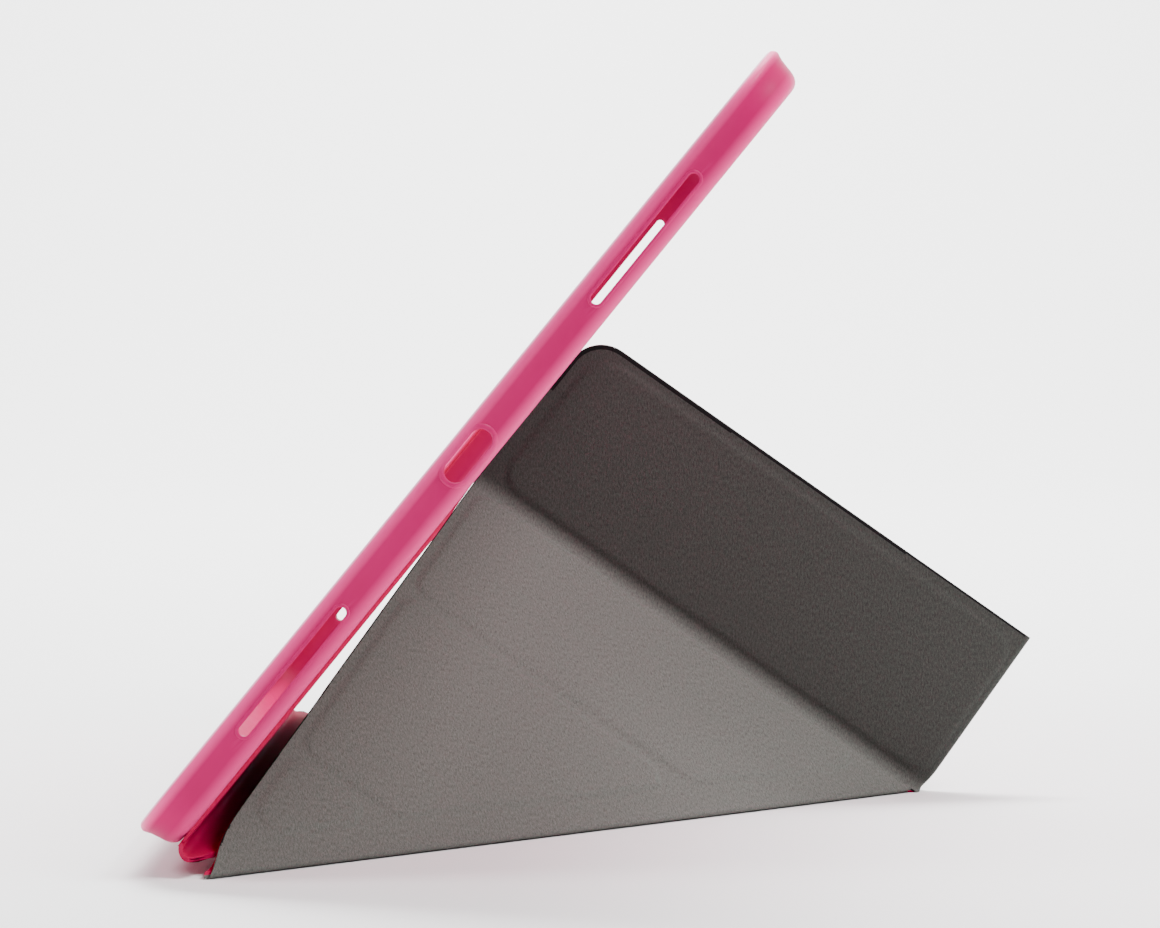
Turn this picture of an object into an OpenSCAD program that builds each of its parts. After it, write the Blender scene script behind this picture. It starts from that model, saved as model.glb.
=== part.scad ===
// Folding tablet case, standing in its landscape pose: a moulded tray leans on a cover that is
// folded along two diagonals into a fin.
// Frame: the table is z = 0, y = 0 is the mid-plane across the case, and the origin lies under
// the middle of the standing case. +X runs from the tray's foot towards the fin, +Y along the
// tray's long side. X is worked out from the near diagonal fold's start, then moved by frame_x.

/* [Cover] */
// Half of the cover's length, from the mid-plane to a short edge
cover_half = 143; // [138:0.5:150]
// Distance along X from the start of a diagonal fold to its end at the mid-plane
diagonal_run = 175.5; // [168:0.5:182]
// Distance of the wing and fin's outer faces from the mid-plane where the folds meet
fold_stack = 2.4; // [2.3:0.05:3]
// Length of the crease between wing and fin
crease_len = 142.4; // [138:0.2:148]
// Slope of that crease above the table, in degrees
crease_rise = 35.05; // [33:0.05:37]
// How far the fin's free end leans away from the mid-plane
fin_lean = 4; // [2:0.5:8]
// Width of the fin, which is the cover's free strip
fin_w = 48.7; // [44:0.1:52]
// Widths of the second, third and fourth strips, counted from the fin
strip_w = [50, 67.5, 52.2]; // [40:0.1:80]
// Thickness of the skin, of the boards and of the lining
layer_t = [0.6, 1.0, 0.6]; // [0.4:0.1:1.2]
// Height of the base's underside: the folded diagonals hold it off the table
base_z = 2.4; // [2.2:0.1:3]

// Distance from the start of the diagonal folds to the middle of the standing case
frame_x = 93.5; // [90:0.1:97]

/* [Folds] */
// Bare skin left between a diagonal fold and the wing's stiffened part
diagonal_bare = 8.5; // [8:0.1:12]
// Bare skin left between a diagonal fold and the base's stiffened part
base_bare = 8; // [7.8:0.1:12]
// Bare skin beside the crease and the mid fold
crease_bare = 1.7; // [1.6:0.1:2.5]
// Gap between two boards at a groove
groove_w = 3.3; // [2:0.1:5]
// Width of the skin rim outside the boards
rim_w = 3; // [2:0.1:5]
// Corner radius of the stiffened panels
corner_r = 9; // [3:0.5:12]
// Height of the wing's hinge line above the table
wing_axis_z = 1.2; // [0.8:0.1:1.3]

/* [Tray] */
// Tray's width, up its slope
tray_w = 223; // [220:0.5:226]
// Tray's length, along Y
tray_len = 287; // [284:0.5:290]
// Tray's thickness
tray_t = 9.6; // [9:0.1:10.5]
// Thickness of the tray's back
tray_back_t = 1.5; // [1.2:0.1:2]
// Width, length and thickness of the tablet that the tray holds
tablet = [214.9, 280.6, 6.1]; // [5:0.1:300]
// Radius of the tray's corners in plan
tray_r = 20; // [16:0.5:24]
// Tray's tilt above the table at rest, in degrees
tray_tilt = 50.8; // [48:0.1:52]
// X and Z of the tray's lower back edge
tray_foot = [-5.5, 3.6]; // [-8:0.1:6]
// Length and width of a speaker slot
speaker_slot = [36, 2.8]; // [2:0.1:40]
// Distance of each speaker slot's middle from the port's middle
speaker_off = 60.5; // [50:0.5:70]
// Length and width of the port opening
port_slot = [14.1, 5.5]; // [4:0.1:16]
// Side of the camera opening
camera_side = 38; // [30:1:42]

/* [Spine] */
// Width of the spine strip
spine_w = 7.2; // [6:0.1:9]
// X of the fold between spine and base
spine_x = 6.5; // [6:0.1:8]
// Length of the spine strip
spine_len = 252; // [240:1:256]
// Height of the flap that is glued to the tray's back
flap_w = 96; // [60:1:120]

/* [Magnets] */
// Diameter and thickness of a magnet
magnet = [9, 0.8]; // [0.5:0.1:12]
// Number of magnets in each fin
magnet_count = 4; // [2:1:6]

/* [Hidden] */
$fn = 64;

pink = [0.82, 0.25, 0.47];
grey = [0.45, 0.43, 0.41];
board_colour = [0.75, 0.72, 0.66];
steel = [0.7, 0.7, 0.72];

cover_t = layer_t[0] + layer_t[1] + layer_t[2];

function unit(v) = v / norm(v);

// Corners where the folds meet, on the wing's outer face
fold_start = [0, -cover_half, 0];
fold_end = [diagonal_run, -fold_stack, 0];
diagonal_dir = unit(fold_end - fold_start);
crease_plan = sqrt(crease_len * crease_len - fin_lean * fin_lean);
crease_top = fold_end + [-crease_plan * cos(crease_rise), -fin_lean, crease_plan * sin(crease_rise)];

// Directions in the wing: along the crease, square to it towards the fold's start, and outwards
crease_dir = unit(crease_top - fold_end);
wing_n = unit(cross(diagonal_dir, crease_dir));
wing_dir = cross(wing_n, crease_dir);
// Directions in the fin: away from the crease, and outwards
fin_dir = unit([crease_dir[2], 0, -crease_dir[0]]);
fin_n = cross(fin_dir, crease_dir);

wing_start = [(fold_start - fold_end) * crease_dir, (fold_start - fold_end) * wing_dir];
// The tray's back plane, and where it trims the fin's short edge
tray_n = [-sin(tray_tilt), 0, cos(tray_tilt)];
tray_corner = [tray_foot[0], 0, tray_foot[1]];
fin_gap = 0.9;
function fin_end(v) =
    (-fin_gap - (fold_end + v * fin_dir - tray_corner) * tray_n) / (crease_dir * tray_n);

// Moves flat outlines, drawn in x and y, into the plane with directions u and v
module lay_in(origin, u, v, n)
    multmatrix([[u[0], v[0], n[0], origin[0]], [u[1], v[1], n[1], origin[1]],
        [u[2], v[2], n[2], origin[2]], [0, 0, 0, 1]]) children();

module in_frame() translate([-frame_x, 0, 0]) children();
module mirrored(far) in_frame() mirror([0, far ? 1 : 0, 0]) children();

// Outlines: corners run anticlockwise
function turn(v) = [-v[1], v[0]];
function meet(p, d, q, e) = p + d * (((q - p) * turn(e)) / (d * turn(e)));
function edge(points, i) = unit(points[(i + 1) % len(points)] - points[i]);
function inset(points, by) = [for (i = [0 : len(points) - 1])
    let (j = (i + len(points) - 1) % len(points), d = edge(points, j), e = edge(points, i))
    meet(points[j] + turn(d) * by[j], d, points[i] + turn(e) * by[i], e)];
function rounded(points, r, steps = 8) = [for (i = [0 : len(points) - 1])
    let (j = (i + len(points) - 1) % len(points), d = edge(points, j), e = edge(points, i),
        bend = acos(d * e), reach = r * tan(bend / 2),
        start = points[i] - d * reach, middle = start + turn(d) * r)
    for (k = [0 : steps]) let (a = bend * k / steps)
        middle - turn(d) * r * cos(a) + d * r * sin(a)];

module sheet(points, from, to) translate([0, 0, from]) linear_extrude(to - from) polygon(points);

// Tablet-shaped slab: four round corners joined by two blocks
module rounded_slab(w, l, r, from, to) translate([0, 0, from]) {
    for (x = [-1, 1], y = [-1, 1]) translate([x * (w / 2 - r), y * (l / 2 - r), 0])
        cylinder(r = r, h = to - from);
    translate([-w / 2, -l / 2 + r, 0]) cube([w, l - 2 * r, to - from]);
    translate([-w / 2 + r, -l / 2, 0]) cube([w - 2 * r, l, to - from]);
}

// Round-ended cutter of a slot through an end wall, long way up the slope
module end_slot(size, at, wall) translate([at, 0, tray_back_t + tablet[2] / 2]) {
    for (s = [-1, 1]) translate([s * (size[0] - size[1]) / 2, 0, 0]) rotate([90, 0, 0])
        cylinder(r = size[1] / 2, h = wall, center = true);
    cube([size[0] - size[1], wall, size[1]], center = true);
}

module in_tray() in_frame() translate(tray_corner) rotate([0, -tray_tilt, 0])
    translate([tray_w / 2, 0, 0]) children();

module tray_shell() color(pink) in_tray() difference() {
    union() {
        rounded_slab(tray_w - 3, tray_len - 3, tray_r - 1.5, 0, 1.5);
        rounded_slab(tray_w, tray_len, tray_r, 1.5, tray_t);
    }
    // pocket for the tablet, and the mouth inside the lip
    rounded_slab(tablet[0], tablet[1], 17, tray_back_t, tray_back_t + tablet[2] + 0.1);
    rounded_slab(tablet[0] - 3, tablet[1] - 3, 15.5, tray_back_t + 1, tray_t + 1);
    for (end = [-1, 1]) translate([0, end * tray_len / 2, 0]) {
        for (s = [-1, 1]) end_slot(speaker_slot, s * speaker_off, 16);
        if (end < 0) end_slot(port_slot, 0, 16);
    }
    // camera opening near the upper far corner
    translate([tray_w / 2 - 36, tray_len / 2 - 36, -1])
        for (x = [-1, 1], y = [-1, 1]) translate([x * (camera_side / 2 - 6), y * (camera_side / 2 - 6), 0])
            cylinder(r = 6, h = 4);
    translate([tray_w / 2 - 36, tray_len / 2 - 36, 0.5]) {
        cube([camera_side, camera_side - 12, 3], center = true);
        cube([camera_side - 12, camera_side, 3], center = true);
    }
}

// Flap glued to the tray's back, from near its foot upwards
flap_outline = rounded([[-tray_w / 2 + 6, -spine_len / 2], [-tray_w / 2 + flap_w, -spine_len / 2],
    [-tray_w / 2 + flap_w, spine_len / 2], [-tray_w / 2 + 6, spine_len / 2]], 5);
module flap_skin() color(pink) in_tray() sheet(flap_outline, -1, -0.5);
module flap_board() color(board_colour) in_tray()
    sheet(rounded(inset([[-tray_w / 2 + 6, -spine_len / 2], [-tray_w / 2 + flap_w, -spine_len / 2],
        [-tray_w / 2 + flap_w, spine_len / 2], [-tray_w / 2 + 6, spine_len / 2]],
        [rim_w, rim_w, rim_w, rim_w]), 4), -0.5, 0);

base_top = base_z + cover_t;
spine_outline = rounded([[spine_x - spine_w, -spine_len / 2], [spine_x - 0.4, -spine_len / 2],
    [spine_x - 0.4, spine_len / 2], [spine_x - spine_w, spine_len / 2]], 2.5);
module spine_upper_skin() color(pink) in_frame() sheet(spine_outline, base_top - 0.6, base_top);
module spine_lower_skin() color(pink) in_frame() sheet(spine_outline, base_top - 1.2, base_top - 0.6);

// Base: the part of the cover that lies between the two diagonals
slope = diagonal_dir[1] / diagonal_dir[0];
function base_corner(x, bare) = [x, -cover_half + slope * x + bare / diagonal_dir[0]];
function base_tip(bare) = [(cover_half - bare / diagonal_dir[0]) / slope, 0];
function base_outline(bare, left) = let (c = base_corner(left, bare))
    [c, base_tip(bare), [c[0], -c[1]]];
base_panel = rounded(base_outline(base_bare, spine_x), 2.5);
// X of the grooves between the strips, at the mid-plane
groove_x = [diagonal_run - strip_w[0], diagonal_run - strip_w[0] - strip_w[1]];
module base_skin() color(pink) in_frame() sheet(base_panel, base_top - layer_t[0], base_top);
module base_lining() color(grey) in_frame() sheet(base_panel, base_z, base_z + layer_t[2]);
module base_board(from, to) color(board_colour) in_frame() intersection() {
    sheet(base_outline(base_bare + rim_w, spine_x + rim_w), base_z + layer_t[2], base_top - layer_t[0]);
    translate([from, -cover_half, base_z]) cube([to - from, 2 * cover_half, cover_t]);
}
module base_board_2() base_board(groove_x[0] + groove_w / 2, diagonal_run);
module base_board_3() base_board(groove_x[1] + groove_w / 2, groove_x[0] - groove_w / 2);
module base_board_4() base_board(spine_x + rim_w, groove_x[1] - groove_w / 2);

// Folded diagonal under the base's edge, which the case stands on
module diagonal_fold(far) color(grey) mirrored(far) intersection() {
    translate(fold_start) rotate([0, 0, atan2(diagonal_dir[1], diagonal_dir[0])])
        translate([14, -0.8, 0]) cube([norm(fold_end - fold_start), 11.5, base_z]);
    translate([spine_x, -cover_half, -1]) cube([diagonal_run - spine_x, cover_half - 0.2, base_z + 2]);
}
module diagonal_fold_near() diagonal_fold(false);
module diagonal_fold_far() diagonal_fold(true);

// Wing outline in its own plane: fold's end, crease's top, fold's start
wing_corners = [[0, 0], [crease_len, 0], wing_start];
wing_panel = rounded(inset(wing_corners, [crease_bare, 0.3, diagonal_bare]), 3);
module in_wing(far) mirrored(far) lay_in(fold_end, crease_dir, wing_dir, wing_n) children();
module wing_skin(far) color(pink) in_wing(far) sheet(wing_panel, -cover_t, -cover_t + layer_t[0]);
module wing_lining(far) color(grey) in_wing(far) sheet(wing_panel, -layer_t[2], 0);
module wing_board(far, from, to) color(board_colour) in_wing(far) intersection() {
    sheet(inset(wing_corners, [crease_bare + 1.2, rim_w, diagonal_bare + 1.5]),
        -cover_t + layer_t[0], -layer_t[2]);
    translate([0, from, -cover_t]) cube([cover_half * 1.2, to - from, cover_t]);
}
wing_strips = [strip_w[0], strip_w[0] + strip_w[1], diagonal_run];
module wing_board_2(far) wing_board(far, 0, wing_strips[0] - groove_w / 2);
module wing_board_3(far) wing_board(far, wing_strips[0] + groove_w / 2, wing_strips[1] - groove_w / 2);
module wing_board_4(far) wing_board(far, wing_strips[1] + groove_w / 2, wing_strips[2]);
module wing_skin_near() wing_skin(false);
module wing_lining_near() wing_lining(false);
module wing_board_2_near() wing_board_2(false);
module wing_board_3_near() wing_board_3(false);
module wing_board_4_near() wing_board_4(false);
module wing_skin_far() wing_skin(true);
module wing_lining_far() wing_lining(true);
module wing_board_2_far() wing_board_2(true);
module wing_board_3_far() wing_board_3(true);
module wing_board_4_far() wing_board_4(true);

// Crease: a round bead on the hinge line, half way through the cover
crease_half = acos(wing_n * fin_n) / 2;
crease_axis = fold_end - unit(wing_n + fin_n) * cover_t / 2 / cos(crease_half);
module crease_fold(far) color(grey) mirrored(far)
    lay_in(crease_axis, crease_dir, wing_dir, wing_n)
        translate([8, 0, 0]) rotate([0, 90, 0]) cylinder(r = 1, h = crease_len - 12);
module crease_fold_near() crease_fold(false);
module crease_fold_far() crease_fold(true);

// Fin outline in its own plane: its short edge stops clear of the tray
fin_corners = [[0, 0], [0, fin_w], [fin_end(fin_w), fin_w], [fin_end(0), 0]];
function flipped(points) = [for (i = [len(points) - 1 : -1 : 0]) points[i]];
fin_panel = rounded(inset(flipped(fin_corners), [crease_bare + 0.2, 0, 0, 2.2]), corner_r);
module in_fin(far) mirrored(far) lay_in(fold_end, crease_dir, fin_dir, fin_n) children();
module fin_skin(far) color(pink) in_fin(far) sheet(fin_panel, -cover_t, -cover_t + layer_t[0]);
module fin_lining(far) color(grey) in_fin(far) sheet(fin_panel, -layer_t[2], 0);
magnet_pitch = crease_len / (magnet_count + 1);
module magnet_places() for (i = [1 : magnet_count])
    translate([i * magnet_pitch, fin_w - rim_w - 7, -cover_t / 2]) children();
module fin_board(far) color(board_colour) in_fin(far) difference() {
    sheet(rounded(inset(flipped(fin_corners), [crease_bare + 1.5, rim_w, rim_w, 3.7]), 4),
        -cover_t + layer_t[0], -layer_t[2]);
    magnet_places() cylinder(r = magnet[0] / 2 + 0.1, h = cover_t, center = true);
}
module fin_magnets(far) color(steel) in_fin(far) magnet_places()
    cylinder(r = magnet[0] / 2, h = magnet[1], center = true);
module fin_skin_near() fin_skin(false);
module fin_lining_near() fin_lining(false);
module fin_board_near() fin_board(false);
module fin_magnets_near() fin_magnets(false);
module fin_skin_far() fin_skin(true);
module fin_lining_far() fin_lining(true);
module fin_board_far() fin_board(true);
module fin_magnets_far() fin_magnets(true);

tray_shell();
flap_skin();
flap_board();
spine_upper_skin();
spine_lower_skin();
base_skin();
base_lining();
base_board_2();
base_board_3();
base_board_4();
diagonal_fold_near();
diagonal_fold_far();
wing_skin_near();
wing_lining_near();
wing_board_2_near();
wing_board_3_near();
wing_board_4_near();
crease_fold_near();
wing_skin_far();
wing_lining_far();
wing_board_2_far();
wing_board_3_far();
wing_board_4_far();
crease_fold_far();
fin_skin_near();
fin_lining_near();
fin_board_near();
fin_magnets_near();
fin_skin_far();
fin_lining_far();
fin_board_far();
fin_magnets_far();
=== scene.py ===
"""Folding tablet case: the looks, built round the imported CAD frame."""
import math

import bmesh
import bpy
import numpy as np
from mathutils import Euler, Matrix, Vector


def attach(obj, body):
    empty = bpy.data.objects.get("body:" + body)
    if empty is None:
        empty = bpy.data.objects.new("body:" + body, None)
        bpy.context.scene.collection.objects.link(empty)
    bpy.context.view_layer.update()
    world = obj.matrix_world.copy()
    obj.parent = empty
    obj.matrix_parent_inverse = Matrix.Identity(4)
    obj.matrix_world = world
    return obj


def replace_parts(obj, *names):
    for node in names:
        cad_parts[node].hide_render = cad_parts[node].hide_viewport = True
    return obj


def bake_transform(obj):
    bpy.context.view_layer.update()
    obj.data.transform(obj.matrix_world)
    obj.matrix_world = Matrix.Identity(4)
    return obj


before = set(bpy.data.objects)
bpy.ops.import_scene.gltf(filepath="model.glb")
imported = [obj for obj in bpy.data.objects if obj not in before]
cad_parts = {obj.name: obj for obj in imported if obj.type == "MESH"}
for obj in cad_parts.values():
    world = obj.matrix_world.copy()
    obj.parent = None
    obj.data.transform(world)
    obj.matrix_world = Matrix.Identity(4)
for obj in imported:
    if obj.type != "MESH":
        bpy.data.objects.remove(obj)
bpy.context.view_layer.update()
MM = 0.001

# ---------------------------------------------------------------- driving sizes, in millimetres
cover_half = 143.0            # cover's mid-plane to a short edge
diagonal_run = 175.5          # X from the start of a diagonal fold to its end
fold_stack = 2.4              # wing's outer face to the mid-plane at the folds' meeting point
crease_len = 142.4
crease_rise = math.radians(35.05)
fin_lean = 4.0
fin_w = 48.7
strips = (50.0, 117.5)        # grooves of the wing, from the crease
cover_t = 2.2
frame_x = 93.5                # X of the frame's origin, from the near fold's start
board_rise = 0.5              # how far a board lifts the fabric over it
base_z = 2.4
base_top = base_z + cover_t
crease_bare = 1.7             # half the bare strip along the crease
diagonal_bare = 8.5           # bare strip up the wing from the diagonal fold
base_bare = 8.0               # bare strip on the base along the diagonal fold
groove = 3.4
nose = 1.6                    # depth of the round fold between the fins
skin_mid = -1.1               # where lining and skin meet inside the sheet, below its outer face
tray_w, tray_len, tray_r = 223.0, 287.0, 20.0
tray_back_t = 1.5
tablet = (214.9, 280.6, 6.1)
pocket_r = 17.0
tray_tilt = math.radians(50.8)
tray_foot = (-5.5, 3.6)
speaker_slot = (36, 2.8)
speaker_off = 60.5            # from the port's middle
port_slot = (14.1, 5.5)
opening_depth = 9
camera_side, camera_r = 38.0, 7.0
camera_in = 36                # the camera opening's middle from two edges of the tray
flap_top = 96.0
flap_start = 4.1              # up the slope from the tray's foot
flap_half = 134.5
spine_x0, spine_x1 = 5.0, 8.0  # the groove that joins the spine to the base
spine_t = 0.55                # one of the spine's two skins
bend_r = 2.0
bend_x = -0.16
bend_end = 140.8              # degrees at which the bend meets the tray's back


def unit(v):
    v = np.asarray(v, float)
    return v / np.linalg.norm(v)


# ---------------------------------------------------------------- planes of the folded cover
fold_start = np.array([0, -cover_half, 0.0])
fold_end = np.array([diagonal_run, -fold_stack, 0.0])
diagonal = unit(fold_end - fold_start)
inward = np.array([-diagonal[1], diagonal[0], 0])
up = np.array([0, 0, 1.0])
reach = math.sqrt(crease_len ** 2 - fin_lean ** 2)
crease_top = fold_end + [-reach * math.cos(crease_rise), -fin_lean, reach * math.sin(crease_rise)]
crease = unit(crease_top - fold_end)
wing_n = unit(np.cross(diagonal, crease))
wing_v = np.cross(wing_n, crease)
fin_v = unit([crease[2], 0, -crease[0]])
fin_n = np.cross(fin_v, crease)
tray_u = np.array([math.cos(tray_tilt), 0, math.sin(tray_tilt)])
tray_n = np.array([-math.sin(tray_tilt), 0, math.cos(tray_tilt)])
tray_origin = np.array([tray_foot[0], 0, tray_foot[1]])
rise = math.acos(wing_n[2])                     # wing's slope above the base
climb = inward * math.cos(rise) + up * math.sin(rise)   # straight up the wing, square to the diagonal


class Plane:
    """Turns flat x, y and height into the row frame."""

    def __init__(self, origin, u, v, n):
        self.origin, self.axes = np.asarray(origin, float), np.array([u, v, n], float)

    def place(self, points):
        return self.origin + np.asarray(points, float) @ self.axes


crease_turn = math.acos(wing_n @ fin_n)


class Bent:
    """Wing and fin as one sheet: x along the crease, y across it (the wing is negative), z outwards."""

    radius = crease_bare / math.tan(crease_turn / 2)

    def place(self, points):
        x, y, z = np.asarray(points, float).T
        wing = fold_end + np.outer(x, crease) - np.outer(y, wing_v) + np.outer(z, wing_n)
        fin = fold_end + np.outer(x, crease) + np.outer(y, fin_v) + np.outer(z, fin_n)
        a = np.clip(y / crease_bare, -1, 1) * crease_turn / 2
        n = (np.outer(np.sin(crease_turn / 2 - a), wing_n)
             + np.outer(np.sin(crease_turn / 2 + a), fin_n)) / math.sin(crease_turn)
        to_centre = unit(wing_n + fin_n) * self.radius / math.cos(crease_turn / 2)
        centre = fold_end + np.outer(x, crease) + to_centre
        arc = centre - n * (self.radius - z)[:, None]
        return np.where((y < -crease_bare)[:, None], wing, np.where((y > crease_bare)[:, None], fin, arc))


bent = Bent()
base_plane = Plane([0, 0, base_top], [1, 0, 0], [0, 1, 0], [0, 0, 1])
tray_plane = Plane(tray_origin, tray_u, [0, 1, 0], tray_n)

# The sheet laid flat: where the diagonal starts, its direction, and the direction up the wing from it
flat_start = np.array([(fold_start - fold_end) @ crease, -((fold_start - fold_end) @ wing_v)])
flat_diagonal = np.array([diagonal @ crease, -(diagonal @ wing_v)])
flat_climb = np.array([climb @ crease, -(climb @ wing_v)])
start_angle = math.acos(unit(crease_top - fold_start) @ diagonal)


def foot_curl(q):
    """How far the short edge curls in along the diagonal, q up the wing from the fold."""
    return 5.4 * np.exp(-((q / 8.6) ** 2))


# ---------------------------------------------------------------- outlines
def inset(points, by):
    """Moves each edge of an anticlockwise outline inwards by its own distance."""
    out, n = [], len(points)
    p = [np.array(q, float) for q in points]
    for i in range(n):
        d, e = unit(p[i] - p[i - 1]), unit(p[(i + 1) % n] - p[i])
        a = p[i - 1] + np.array([-d[1], d[0]]) * by[i - 1]
        b = p[i] + np.array([-e[1], e[0]]) * by[i]
        t = np.linalg.solve(np.array([d, -e]).T, b - a)
        out.append(a + d * t[0])
    return out


def rounded(points, radii, steps=10):
    """Rounds the corners of an anticlockwise outline, by one radius or one for each corner."""
    out, n = [], len(points)
    for i in range(n):
        p, r = points[i], radii[i] if hasattr(radii, "__len__") else radii
        d, e = unit(p - points[i - 1]), unit(points[(i + 1) % n] - p)
        if r <= 0:
            out.append(p)
            continue
        bend = math.acos(max(-1, min(1, d @ e)))
        left = np.array([-d[1], d[0]])
        start = p - d * r * math.tan(bend / 2)
        middle = start + left * r
        out += [middle - left * r * math.cos(bend * k / steps) + d * r * math.sin(bend * k / steps)
                for k in range(steps + 1)]
    return out


def depth_inside(points, outline):
    """Distance inside a convex outline, negative outside."""
    o = np.array(outline)
    e = np.roll(o, -1, 0) - o
    keep = np.linalg.norm(e, axis=1) > 1e-6
    o, e = o[keep], e[keep]
    e /= np.linalg.norm(e, axis=1)[:, None]
    left = np.stack([-e[:, 1], e[:, 0]], 1)
    return np.min(np.einsum("ijk,jk->ij", points[:, None, :] - o[None], left), axis=1)


def smooth(x):
    """Smoothstep, held at 0 below 0 and at 1 above 1."""
    x = np.clip(x, 0, 1)
    return x * x * (3 - 2 * x)


# ---------------------------------------------------------------- meshes
def in_row(points, far=False):
    """Millimetres from the near fold's start to metres in the row frame, mirrored on the far side."""
    return ((np.asarray(points, float) * [1, -1 if far else 1, 1]) - [frame_x, 0, 0]) * MM


def soften(points):
    """Rounds the corner where all the folds meet."""
    p = np.array(points, float)
    away = np.linalg.norm(p[:, [0, 2]] - fold_end[[0, 2]], axis=1)
    lift = 0.95 * np.clip(1 - away / 7, 0, 1) ** 2
    return p + lift[:, None] * [-0.46, 0, 0.89]


def outward(obj):
    """Turns every face of a closed mesh outwards."""
    bm = bmesh.new()
    bm.from_mesh(obj.data)
    bmesh.ops.recalc_face_normals(bm, faces=bm.faces)
    bm.to_mesh(obj.data)
    bm.free()
    return obj


def new_object(name, verts_mm, faces, mat, uv=None, flip=False, smooth_angle=40):
    mesh = bpy.data.meshes.new(name)
    verts_mm = soften(verts_mm)
    if flip:
        faces = [tuple(reversed(f)) for f in faces]
    mesh.from_pydata(in_row(verts_mm).tolist(), [], faces)
    if uv is not None:
        layer_uv = mesh.uv_layers.new(name="UVMap")
        index = np.empty(len(mesh.loops), int)
        mesh.loops.foreach_get("vertex_index", index)
        layer_uv.data.foreach_set("uv", (np.asarray(uv)[index] * MM).astype(np.float32).ravel())
    mesh.materials.append(mat)
    obj = bpy.data.objects.new(name, mesh)
    bpy.context.scene.collection.objects.link(obj)
    mesh.shade_smooth()
    mesh.set_sharp_from_angle(angle=math.radians(smooth_angle))
    return obj


band_lines = (0.6, 0.9, 1.2)   # where the mesh is divided for the band of painted shade beside the cut edge


def panel(name, outline, plane, outer, inner, relief, mat, far=False, step=0.9, edge_r=0.3, free=None,
          shift=None, dark=None, wing_cut=None):
    """A layer of the cover: a finely divided face at height outer, shaped by relief(x, y), with a rounded
    cut edge that runs down to height inner. free is the outline whose edges are rounded, shift moves points
    in the flat sheet, dark(x, y) is the width of a band of painted shade beside the cut edge, and wing_cut is
    the line that ends the wing beside its folded diagonal."""
    o = np.array(outline)
    free = outline if free is None else free
    low, high = o.min(0) - step, o.max(0) + step
    nx, ny = int((high[0] - low[0]) / step) + 1, int((high[1] - low[1]) / step) + 1
    bm = bmesh.new()
    bmesh.ops.create_grid(bm, x_segments=nx, y_segments=ny, size=0.5)
    for v in bm.verts:
        v.co.x = (v.co.x + 0.5) * (high[0] - low[0]) + low[0]
        v.co.y = (v.co.y + 0.5) * (high[1] - low[1]) + low[1]
    if wing_cut is not None:
        y0 = Vector((0, -crease_bare, 0))
        bmesh.ops.bisect_plane(bm, geom=bm.verts[:] + bm.edges[:] + bm.faces[:], plane_co=y0,
                               plane_no=(0, 1, 0), dist=1e-4)
        lower = [f for f in bm.faces if f.calc_center_median().y < -crease_bare]
        lower += list({e for f in lower for e in f.edges}) + list({v for f in lower for v in f.verts})
        p, d = wing_cut
        bmesh.ops.bisect_plane(bm, geom=lower, plane_co=(p[0], p[1], 0), plane_no=(d[1], -d[0], 0), dist=1e-4)
        n = Vector((d[1], -d[0], 0))
        gone = [f for f in bm.faces if f.calc_center_median().y < -crease_bare
                and (f.calc_center_median() - Vector((p[0], p[1], 0))).dot(n) > 0]
        bmesh.ops.delete(bm, geom=gone, context="FACES")
    widths = [edge_r] if dark is None else [edge_r, *band_lines]
    for inside in [0] + widths:
        for i in range(len(o)):
            p, q = o[i], o[(i + 1) % len(o)]
            if np.linalg.norm(q - p) < 1e-6:
                continue
            d = unit(q - p)
            n = Vector((d[1], -d[0], 0))
            at = Vector((p[0], p[1], 0)) - n * inside
            bmesh.ops.bisect_plane(bm, geom=bm.verts[:] + bm.edges[:] + bm.faces[:], plane_co=at,
                                   plane_no=n, clear_outer=inside == 0, dist=1e-4)
    bmesh.ops.remove_doubles(bm, verts=bm.verts, dist=0.01)
    xy = np.array([(v.co.x, v.co.y) for v in bm.verts])
    side = 1 if outer > inner else -1
    depth = np.clip(depth_inside(xy, free), 0, edge_r)
    fall = edge_r * (1 - np.sqrt(1 - (1 - depth / edge_r) ** 2))
    height = outer + side * (relief(xy[:, 0], xy[:, 1]) - fall)
    for v, h in zip(bm.verts, height):
        v.co.z = h
    # painted shade: lining faces within dark(x, y) of the free edge get the near-black cut-edge material
    if dark is not None:
        mid = np.array([f.calc_center_median()[:2] for f in bm.faces])
        for f, is_dark in zip(bm.faces, depth_inside(mid, free) < dark(mid[:, 0], mid[:, 1])):
            f.material_index = int(is_dark)
    rim = [e for e in bm.edges if len(e.link_faces) == 1]
    old = set(bm.faces)
    made = bmesh.ops.extrude_edge_only(bm, edges=rim)["geom"]
    for v in made:
        if isinstance(v, bmesh.types.BMVert):
            v.co.z = inner
    if dark is not None:
        for f in bm.faces:
            if f not in old:
                f.material_index = 1
    bmesh.ops.recalc_face_normals(bm, faces=bm.faces)
    probe = max(bm.faces, key=lambda f: f.calc_area())
    if probe.normal.z * side < 0:
        bmesh.ops.reverse_faces(bm, faces=bm.faces)
    bm.verts.index_update()
    verts = np.array([v.co for v in bm.verts])
    faces = [tuple(v.index for v in f.verts) for f in bm.faces]
    kinds = [f.material_index for f in bm.faces]
    bm.free()
    if shift is not None:
        verts[:, :2] = shift(verts[:, :2])
    out = plane.place(verts)
    if far:
        out[:, 1] *= -1
    obj = new_object(name, out, faces, mat, uv=verts[:, :2], flip=far)
    if dark is not None:
        obj.data.materials.append(CUT_EDGE_AND_SHADE)
        obj.data.polygons.foreach_set("material_index", kinds)
    return obj


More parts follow.
